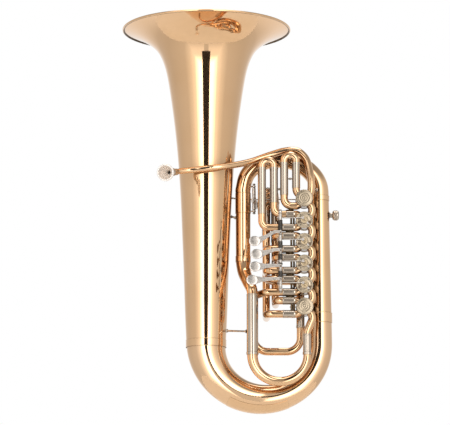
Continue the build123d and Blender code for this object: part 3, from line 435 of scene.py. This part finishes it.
# nickel silver outer sleeves on the straight slide tubes next to each valve, with a bead at both ends
bag = Bag()
for i, z in enumerate(VALVE_Z):
    for k in (1, -1):
        if i == 0 and k == 1:
            continue
        x0, x1 = 187.0, 217.5
        if i == 1 and k == 1:
            x0 = 196.0
        if i == 0:
            x0 = 203.0 + 10.0
            continue
        L = x1 - x0
        prof = [(mm(9.37), 0.0), (mm(9.37), mm(0.1)), (mm(9.95), mm(0.2)), (mm(10.15), mm(0.9)), (mm(9.95), mm(1.6)), (mm(9.78), mm(1.8)), (mm(9.75), mm(2.3)),
                (mm(9.75), mm(2.8)), (mm(9.75), mm(L * 0.5)), (mm(9.75), mm(L - 3.8)), (mm(9.75), mm(L - 3.3)), (mm(9.6), mm(L - 1.0)), (mm(9.37), mm(L))]
        bag.lathe(P(x0, VALVE_Y, z + 16.4 * k), X, prof, 40)
bag.make("valve_tube_sleeves", NICKEL, "root", "nickel_silver")

# short spacers between the two slide tubes of each valve, and the solder webs between neighbouring valves, in a
# near-black brass that is painted shade for the gaps among the tubes
bag = Bag()
for i, z in enumerate(VALVE_Z):
    if i == 0:
        continue
    for x in (208.6, 215.0):
        c0, c1 = P(x, VALVE_Y, z - 8.3), P(x, VALVE_Y, z + 8.3)
        h = (c1 - c0).length
        bag.lathe(c0, Z, [(mm(3.6), 0.0), (mm(3.2), mm(0.8)), (mm(2.6), mm(2.2)), (mm(2.5), h * 0.5), (mm(2.6), h - mm(2.2)), (mm(3.2), h - mm(0.8)), (mm(3.6), h)], 20)
for i in range(5):
    zc = VALVE_Z[i] - PITCH / 2.0
    n, k2 = 12, 10
    rows = []
    for a in range(n + 1):
        f = a / n
        x = 195.0 + 20.0 * f
        r = math.sin(math.pi * (0.08 + 0.84 * f))
        rows.append([P(x, VALVE_Y - 1.0 + 4.5 * r * math.cos(2 * math.pi * b / k2), zc + 1.75 * r * math.sin(2 * math.pi * b / k2)) for b in range(k2)])
    base = len(bag.v)
    for row in rows:
        bag.v += row
    for a in range(n):
        for b in range(k2):
            b2 = (b + 1) % k2
            bag.f.append((base + a * k2 + b, base + a * k2 + b2, base + (a + 1) * k2 + b2, base + (a + 1) * k2 + b))
    bag.f.append(tuple(base + b for b in range(k2)))
    bag.f.append(tuple(base + n * k2 + b for b in reversed(range(k2))))
bag.make("valve_spacers", SHADE_BRASS, "root", "gold_brass_lacquer")

# helical springs round the hubs
def helix(bag, x, y, z0, z1, r, wire, pitch, seg=7, phase=0.0):
    turns = (z1 - z0) / pitch
    n = max(12, int(turns * 22))
    pts = []
    for k in range(n + 1):
        t = 2 * math.pi * turns * k / n + phase
        pts.append(P(x + r * math.cos(t), y + r * math.sin(t), z0 + (z1 - z0) * k / n))
    bag.sweep(pts, mm(wire), seg)


FRONT = (180.8, -92.95)
bag = Bag()
for z0, z1 in ((438.2, 464.2), (394.2, 411.6), (354.6, 358.6), (365.2, 380.4), (322.6, 338.2)):
    helix(bag, FRONT[0], FRONT[1], z0, z1, 5.15, 0.62, 1.5)
bag.make("spring_coils", STEEL, "root", "spring_steel")
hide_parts("lever_springs")

# end screws of the hinge rods
bag, slots = Bag(), Bag()
for (x, y), z0, z1 in ((FRONT, 285.5, 489.5), ((118.0, -3.05), 495.5, 570.5), ((213.0, -3.05), 242.5, 310.5)):
    bag.screw(P(x, y, z1), Z, mm(3.3), mm(0.9), 0.5, slots, 28)
    bag.screw(P(x, y, z0), -Z, mm(3.3), mm(0.9), 1.1, slots, 28)
bag.make("hinge_screws", LEVER, "root", "nickel_silver_levers")
slots.make("hinge_screw_slots", DARK, "root", "nickel_silver_levers")

# engraved collars on the lever hubs
HUB = {2: (428.6, 480.0), 3: (384.6, 427.6), 4: (340.6, 383.6), 5: (296.6, 339.6)}
for i, (z0, z1) in HUB.items():
    bag = Bag()
    for zz in (z0 + 1.2, z1 - 1.2):
        bag.bead(P(FRONT[0], FRONT[1], zz), Z, mm(4.3), mm(0.35), mm(1.6), 32)
    zl = VALVE_Z[i - 1] + CRANK
    bag.bead(P(FRONT[0], FRONT[1], zl - 8.0), Z, mm(4.3), mm(0.35), mm(1.4), 32)
    bag.make("hub_collars_%d" % i, LEVER, "lever_%d_body" % i, "nickel_silver_levers")

# domed faces of the finger paddles
PADDLE = {2: (118.0, -106.0, 410.0), 3: (122.7, -106.0, 378.0), 4: (119.0, -106.0, 347.4), 5: (111.7, -106.0, 314.3)}
for i, (px, py, pz) in PADDLE.items():
    verts, faces = [], []
    rings, seg = 9, 56
    verts.append(P(px, py - 1.5 - 0.95, pz))
    for r in range(1, rings + 1):
        f = r / rings
        h = 0.95 * (1 - f * f) ** 0.5 if f < 1 else -0.05
        for k in range(seg):
            t = 2 * math.pi * k / seg
            verts.append(P(px + 13.3 * f * math.cos(t), py - 1.5 - h, pz + 12.2 * f * math.sin(t)))
    for k in range(seg):
        faces.append((0, 1 + k, 1 + (k + 1) % seg))
    for r in range(rings - 1):
        for k in range(seg):
            a0 = 1 + r * seg + k
            a1 = 1 + r * seg + (k + 1) % seg
            faces.append((a0, a0 + seg, a1 + seg, a1))
    finish_mesh("paddle_face_%d" % i, verts, faces, LEVER, "lever_%d_body" % i)

# beads at the ends of the gold ferrules
bag = Bag()
for x, y, z, r in ((0.0, 0.0, 163.4, 49.95), (0.0, 0.0, 180.6, 49.95), (280.4, 0.0, 224.4, 29.25), (280.4, 0.0, 247.6, 29.25),
                   (280.4, 0.0, 528.4, 23.75), (280.4, 0.0, 539.6, 23.75), (91.0, 6.0, 498.4, 19.55), (91.0, 6.0, 547.6, 19.55),
                   (91.0, 6.0, 376.4, 19.05), (91.0, 6.0, 389.6, 19.05)):
    bag.bead(P(x, y, z), Z, mm(r), mm(0.32), mm(0.9), 72)
bag.make("ferrule_beads", GOLD, "root", "gold_brass_lacquer")

# the bell again on the same profile, turned finely enough for a clean reflection
def through(points, steps):
    """Natural cubic through (r, z) points by chord length."""
    t = [0.0]
    for p, q in zip(points, points[1:]):
        t.append(t[-1] + math.hypot(q[0] - p[0], q[1] - p[1]))
    n = len(points)
    curved = []
    for c in (0, 1):
        y = [p[c] for p in points]
        lo_, di, up, rh = [0.0] * n, [1.0] * n, [0.0] * n, [0.0] * n
        for i in range(1, n - 1):
            h0, h1 = t[i] - t[i - 1], t[i + 1] - t[i]
            lo_[i], di[i], up[i] = h0, 2.0 * (h0 + h1), h1
            rh[i] = 6.0 * ((y[i + 1] - y[i]) / h1 - (y[i] - y[i - 1]) / h0)
        for i in range(1, n):
            f = lo_[i] / di[i - 1]
            di[i] -= f * up[i - 1]
            rh[i] -= f * rh[i - 1]
        m = [0.0] * n
        for i in range(n - 1, -1, -1):
            m[i] = (rh[i] - (up[i] * m[i + 1] if i < n - 1 else 0.0)) / di[i]
        curved.append((y, m))
    out = []
    for i in range(n - 1):
        h = t[i + 1] - t[i]
        for k in range(steps + (1 if i == n - 2 else 0)):
            b = k / steps
            a = 1.0 - b
            out.append(tuple(a * y[i] + b * y[i + 1] + ((a ** 3 - a) * m[i] + (b ** 3 - b) * m[i + 1]) * h * h / 6.0
                             for y, m in curved))
    return out


RIM_Z, WALL = 962.3, 0.8
BELL = [(0, 209.0), (3, 200), (8, 187), (15, 171.5), (25, 154), (38, 136.5), (55, 121),
        (75, 110.5), (100, 102), (130, 95.5), (170, 89), (220, 82), (280, 75),
        (350, 68.7), (430, 63.5), (520, 59.5), (620, 55.3), (720, 51.8), (790.3, 48.6)]
outer = through([(r, RIM_Z - d) for d, r in BELL], 7)
inner = []
for i, (r, z) in enumerate(outer):
    a, c = outer[max(i - 1, 0)], outer[min(i + 1, len(outer) - 1)]
    tx, tz = c[0] - a[0], c[1] - a[1]
    ln = math.hypot(tx, tz)
    inner.append((r - abs(tz) / ln * WALL, z + abs(tx) / ln * WALL))
inner[-1] = (outer[-1][0] - WALL, outer[-1][1])
bag = Bag()
bag.lathe(P(0, 0, 0), (0, 0, 1), [(mm(r), mm(z)) for r, z in outer + inner[::-1]], seg=240, close=True)
bead = []
for k in range(28):
    a = 2.0 * math.pi * k / 28
    bead.append((mm(207.2 + 2.75 * math.cos(a)), mm(961.7 + min(2.75 * math.sin(a), 2.67))))
bag.lathe(P(0, 0, 0), (0, 0, 1), bead, seg=240, close=True)
bag.make("bell_turned", BELL_GOLD, "root", "gold_brass_lacquer")
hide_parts("bell")

# painted shade: a dark ring at the seam where the flare rolls over the rim wire, standing for the shade under the
# rolled bead
bag = Bag()
rim_shade_ring = []
for k in range(13):
    a = math.radians(190.0 + 86.0 * k / 12)
    rim_shade_ring.append((mm(207.2 + 2.95 * math.cos(a)), mm(961.7 + 2.95 * math.sin(a))))
for k in range(13):
    a = math.radians(276.0 - 86.0 * k / 12)
    rim_shade_ring.append((mm(207.2 + 2.55 * math.cos(a)), mm(961.7 + 2.55 * math.sin(a))))
bag.lathe(P(0, 0, 0), (0, 0, 1), rim_shade_ring, seg=256, close=True)
bag.make("rim_seam_shade", RIM_SEAM_SHADE, "root", "gold_brass_lacquer")

# foot flanges of the braces
bag = Bag()


def foot(a, b, r=5.2):
    a, b = Vector(a), Vector(b)
    d = (b - a).normalized()
    bag.lathe(P(*a), d, [(0.0, mm(-0.4)), (mm(r), mm(-0.3)), (mm(r * 0.96), mm(0.4)), (mm(r * 0.62), mm(1.0)), (mm(2.9), mm(2.6)), (mm(2.5), mm(4.6)), (mm(2.2), mm(5.0))], 28)


for a, b in (((51.6, -12.0, 203.0), (98.1, -46.0, 197.0)), ((62.2, 1.5, 489.0), (71.9, 4.0, 487.0)), ((262.4, -36.6, 552.0), (271.4, -23.6, 552.0))):
    foot(a, b, 4.6)
    foot(b, a, 4.6)
for x0, x1, z in ((201.75, 210.85, 575.0), (176.65, 181.35, 549.0), (147.15, 156.35, 551.0)):
    m = (x0 + x1) / 2
    bag.lathe(P(m, VALVE_Y, z), X, [(mm(2.0), mm(-1.6)), (mm(3.2), mm(-0.7)), (mm(3.5), 0.0), (mm(3.2), mm(0.7)), (mm(2.0), mm(1.6))], 24)
bag.make("brace_feet", NICKEL, "root", "nickel_silver")

# oval flange under the neck of the screw knob, and the coin edge of the knob
bag = Bag()
bag.lathe(P(280.4 + 22.4, 0.0, 492.0), X, [(mm(9.5), mm(0.2)), (mm(9.2), mm(1.0)), (mm(7.6), mm(1.9)), (mm(6.3), mm(3.2)), (mm(6.02), mm(4.4))], 40)
bag.make("knob_flange", NICKEL, "root", "nickel_silver")
bag = Bag()
for k in range(60):
    t = 2 * math.pi * k / 60
    c = P(0, 12.15 * math.cos(t), 492.0 + 12.15 * math.sin(t))
    c.x = (280.4 + 23.9 - AX) / 1000.0
    bag.sweep([c + X * mm(12.4), c + X * mm(18.0)], mm(0.30), 5)
bag.make("knob_coin_edge", NICKEL, "root", "nickel_silver")

# rings turned on the mouthpiece: bead under the rim and at the shank
d = Vector((-0.22, -0.955, -0.20)).normalized()
rim = P(-97.9, -203.0, 560.6)
bag = Bag()
for dist, r, th in ((3.6, 20.66, 0.35), (22.0, 16.6, 0.45), (24.0, 15.95, 0.3), (46.0, 7.9, 0.5), (52.0, 7.4, 0.35)):
    bag.bead(rim - d * mm(dist), d, mm(r), mm(th), mm(th * 2.6), 56)
bag.make("mouthpiece_rings", SILVER, "mouthpiece_body", "silver_plate")

# rings at both ends of the outer slide sleeves, and engraved lines on the main sleeves
bag = Bag()
for x, z0, z1, r in ((113.0, 139.0, 287.9, 14.2), (246.0, 139.0, 190.0, 10.15)):
    for zz in (z0 + 6.6, z1 - 1.6, z1 - 4.2):
        bag.bead(P(x, -52.0, zz), Z, mm(r), mm(0.4), mm(1.3), 56)
bag.make("main_sleeve_rings", NICKEL, "root", "nickel_silver")
# CAD_PIECES_END

# ---------------------------------------------------------------------------
# Floor, world, camera
# ---------------------------------------------------------------------------
floor = Mat("floor")
fn = floor.noise(3.0, 5.0, 0.6)
floor.put(Base_Color=floor.ramp(fn, [(0.3, (0.75, 0.74, 0.72)), (0.7, (0.79, 0.78, 0.76))]), Roughness=floor.maprange(fn, 0.3, 0.7, 0.75, 0.85))
floor.bump(floor.noise(900.0, 2.0), 0.15, 0.0003)
bm = bmesh.new()
ring = []
for r in (0.0001, 0.7, 1.4, 2.0):
    ring.append([bm.verts.new((r * math.cos(2 * math.pi * k / 96), r * math.sin(2 * math.pi * k / 96), -0.95)) for k in range(96)])
for r0, r1 in zip(ring, ring[1:]):
    for k in range(96):
        bm.faces.new((r0[k], r1[k], r1[(k + 1) % 96], r0[(k + 1) % 96]))
me = bpy.data.meshes.new("floor")
bm.to_mesh(me)
bm.free()
fl = bpy.data.objects.new("floor", me)
scene.collection.objects.link(fl)
me.materials.append(floor.m)

# the dark gap between the two soft boxes in front, seen only in the metal
gap_m = Mat("gap_cloth")
gn = gap_m.noise(60.0, 4.0, 0.6)
gap_m.put(Base_Color=gap_m.ramp(gn, [(0.3, (0.020, 0.016, 0.013)), (0.7, (0.032, 0.027, 0.023))]), Roughness=gap_m.maprange(gn, 0.3, 0.7, 0.85, 0.95))
gap_me = bpy.data.meshes.new("gap_cloth")
GX, GW, GY, GZ0, GZ1 = -0.0655, 0.178, -1.08, 0.338, 1.35
rows = 12
gv = []
for k in range(rows + 1):
    zz = GZ0 + (GZ1 - GZ0) * k / rows
    w = GW * (0.95 + 0.25 * max(0.0, 1.0 - 1.5 * k / rows))
    gv += [(GX - w, GY, zz), (GX + w, GY, zz)]
gap_me.from_pydata(gv, [], [(2 * k, 2 * k + 1, 2 * k + 3, 2 * k + 2) for k in range(rows)])
gap = bpy.data.objects.new("gap_cloth", gap_me)
scene.collection.objects.link(gap)
gap_me.materials.append(gap_m.m)
low_me = bpy.data.meshes.new("gap_cloth_low")
low_me.from_pydata([(-0.40, -2.5, 0.085), (0.12, -2.5, 0.085), (0.38, -2.5, 0.30), (0.38, -2.5, 0.80), (-0.54, -2.5, 0.80), (-0.54, -2.5, 0.30)], [], [(0, 1, 2, 3, 4, 5)])
gap_low = bpy.data.objects.new("gap_cloth_low", low_me)
scene.collection.objects.link(gap_low)
low_me.materials.append(gap_m.m)
for ob in (gap, gap_low):
    ob.visible_camera = False
    ob.visible_diffuse = False
    ob.visible_shadow = False

world = bpy.data.worlds.new("studio")
scene.world = world
world.use_nodes = True
wt = world.node_tree
wt.nodes.clear()


def wn(kind, **kw):
    node = wt.nodes.new(kind)
    for k, v in kw.items():
        setattr(node, k, v)
    return node


def wmath(op, a, b=None, c=None):
    r = wn("ShaderNodeMath", operation=op)
    for k, v in enumerate((a, b, c)):
        if v is None:
            continue
        if isinstance(v, (int, float)):
            r.inputs[k].default_value = v
        else:
            wt.links.new(v, r.inputs[k])
    return r.outputs[0]


wout = wn("ShaderNodeOutputWorld")
wtc = wn("ShaderNodeTexCoord")
wsep = wn("ShaderNodeSeparateXYZ")
wt.links.new(wtc.outputs["Generated"], wsep.inputs[0])
# azimuth from straight ahead of the bell, 0 to 180 degrees, the same on both sides
az = wmath("ARCTAN2", wmath("ABSOLUTE", wsep.outputs[0]), wmath("MULTIPLY", wsep.outputs[1], -1.0))
az = wmath("DIVIDE", az, math.pi)
ramp = wn("ShaderNodeValToRGB")
stops = [(0.0, 0.70), (6.2, 0.70), (8.2, 3.3), (20.0, 3.2), (33.0, 1.35), (46.0, 0.98), (62.0, 0.72), (112.0, 0.62), (140.0, 0.64), (165.0, 0.92)]
el = ramp.color_ramp.elements
while len(el) < len(stops):
    el.new(0.5)
for e, (deg, v) in zip(el, stops):
    e.position = deg / 180.0
    e.color = (v / 4.0, v / 4.0, v / 4.0, 1.0)
wt.links.new(az, ramp.inputs[0])
around = wmath("MULTIPLY", ramp.outputs[0], 4.0)


def wrange(src, a, b, c=0.0, d=1.0):
    r = wn("ShaderNodeMapRange", interpolation_type="SMOOTHSTEP")
    r.inputs["From Min"].default_value = a
    r.inputs["From Max"].default_value = b
    r.inputs["To Min"].default_value = c
    r.inputs["To Max"].default_value = d
    wt.links.new(src, r.inputs["Value"])
    return r.outputs[0]


def wmix(f, a, b):
    r = wn("ShaderNodeMix", data_type="FLOAT")
    wt.links.new(f, r.inputs[0])
    for k, v in ((2, a), (3, b)):
        if isinstance(v, (int, float)):
            r.inputs[k].default_value = v
        else:
            wt.links.new(v, r.inputs[k])
    return r.outputs[0]


# overhead it is an even soft light, and far below the tent's pale lower part
sky = wmix(wrange(wsep.outputs[2], 0.40, 0.70), around, 0.36)
sky = wmix(wrange(wsep.outputs[2], 0.86, 0.95), sky, 3.4)
dim = wmix(wrange(wsep.outputs[2], -0.14, -0.42), 4.0, 1.22)
dim = wmix(wrange(wsep.outputs[2], -0.40, -0.78), dim, 0.80)
sky = wmath("MINIMUM", sky, dim)
lp = wn("ShaderNodeLightPath")
cam_mix = wn("ShaderNodeMix", data_type="FLOAT")
wt.links.new(lp.outputs["Is Camera Ray"], cam_mix.inputs[0])
wt.links.new(sky, cam_mix.inputs[2])
cam_mix.inputs[3].default_value = 1.0
bg = wn("ShaderNodeBackground")
bg.inputs["Color"].default_value = (1.0, 1.0, 1.0, 1.0)
wt.links.new(cam_mix.outputs[0], bg.inputs["Strength"])
wt.links.new(bg.outputs[0], wout.inputs[0])

cam_data = bpy.data.cameras.new("camera")
cam = bpy.data.objects.new("camera", cam_data)
scene.collection.objects.link(cam)
cam.location = (-0.0124, -6.8894, -0.7401)
cam.rotation_euler = (math.radians(100.2), 0.0, 0.0)
cam_data.sensor_fit = "HORIZONTAL"
cam_data.sensor_width = 36.0
cam_data.lens = 226.63
cam_data.clip_start = 0.1
cam_data.clip_end = 100.0
scene.camera = cam

scene.view_settings.view_transform = "Standard"
scene.view_settings.look = "None"
scene.view_settings.exposure = 0.0
scene.view_settings.gamma = 1.0
